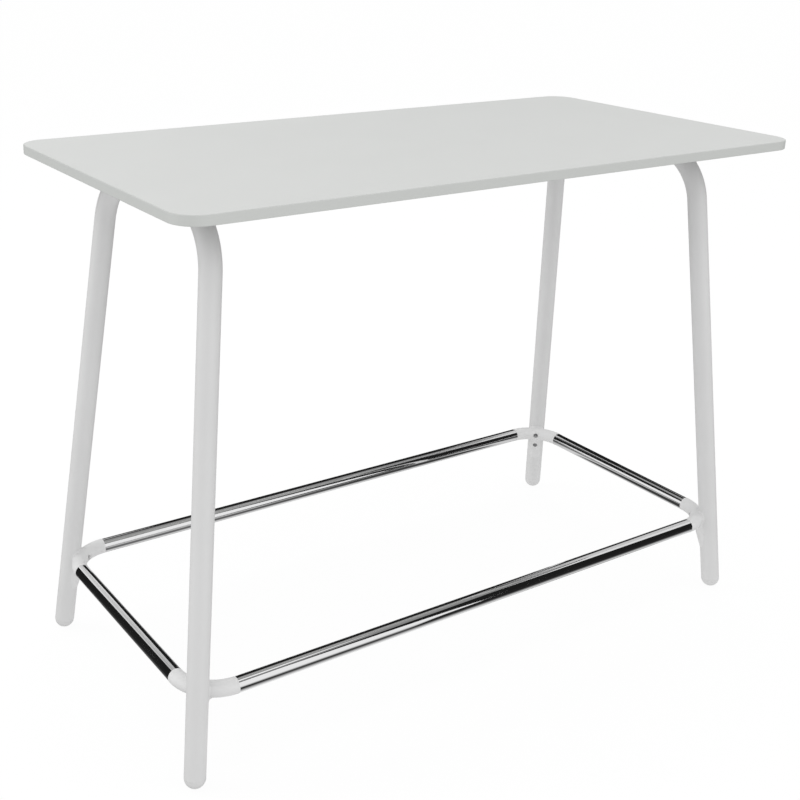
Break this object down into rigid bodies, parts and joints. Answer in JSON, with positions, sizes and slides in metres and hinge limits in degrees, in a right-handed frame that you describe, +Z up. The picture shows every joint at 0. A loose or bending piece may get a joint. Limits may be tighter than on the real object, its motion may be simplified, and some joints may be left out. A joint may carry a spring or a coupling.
{
  "type": "standing meeting table",
  "caption": "Rectangular standing-height meeting table: pale round-cornered top on two splayed bent-tube leg frames, with a chrome foot-rail ring near the floor.",
  "frame": {"origin": "on the floor, under the middle of the top", "axes": "+X along the long side of the top, +Y along the short side, +Z up"},
  "size_m": [1.4, 0.7, 1.05],
  "materials": {
    "top_laminate": "pale grey-white laminate, fine matt texture",
    "edge_band": "pale grey-white band, satin",
    "board_core": "particle board",
    "leg_paint": "light grey-white powder coat, fine satin",
    "rail_chrome": "bright chrome plate",
    "connector_plastic": "light grey-white moulded nylon, satin",
    "glide_plastic": "light grey-white moulded nylon, satin",
    "fastener_steel": "zinc-plated",
    "spacer_plastic": "black nylon"
  },
  "bodies": {
    "root": {"tabletop_core": "board_core", "tabletop_laminate": "top_laminate", "tabletop_backing": "top_laminate", "tabletop_edge_band": "edge_band", "leg_frame_left": "leg_paint", "leg_frame_right": "leg_paint", "mounting_lugs_left": "leg_paint", "mounting_lugs_right": "leg_paint", "stretcher_front": "leg_paint", "stretcher_rear": "leg_paint", "stretcher_spacers": "spacer_plastic", "foot_glide_front_left": "glide_plastic", "foot_glide_front_right": "glide_plastic", "foot_glide_rear_left": "glide_plastic", "foot_glide_rear_right": "glide_plastic", "footrail_front": "rail_chrome", "footrail_rear": "rail_chrome", "footrail_left": "rail_chrome", "footrail_right": "rail_chrome", "footrail_connector_front_left": "connector_plastic", "footrail_connector_front_right": "connector_plastic", "footrail_connector_rear_left": "connector_plastic", "footrail_connector_rear_right": "connector_plastic", "connector_upper_screws": "fastener_steel", "connector_lower_screws": "fastener_steel", "leg_rivet_nuts": "fastener_steel", "board_inserts": "fastener_steel", "lug_screws": "fastener_steel", "stretcher_screws": "fastener_steel"}
  },
  "joints": []
}
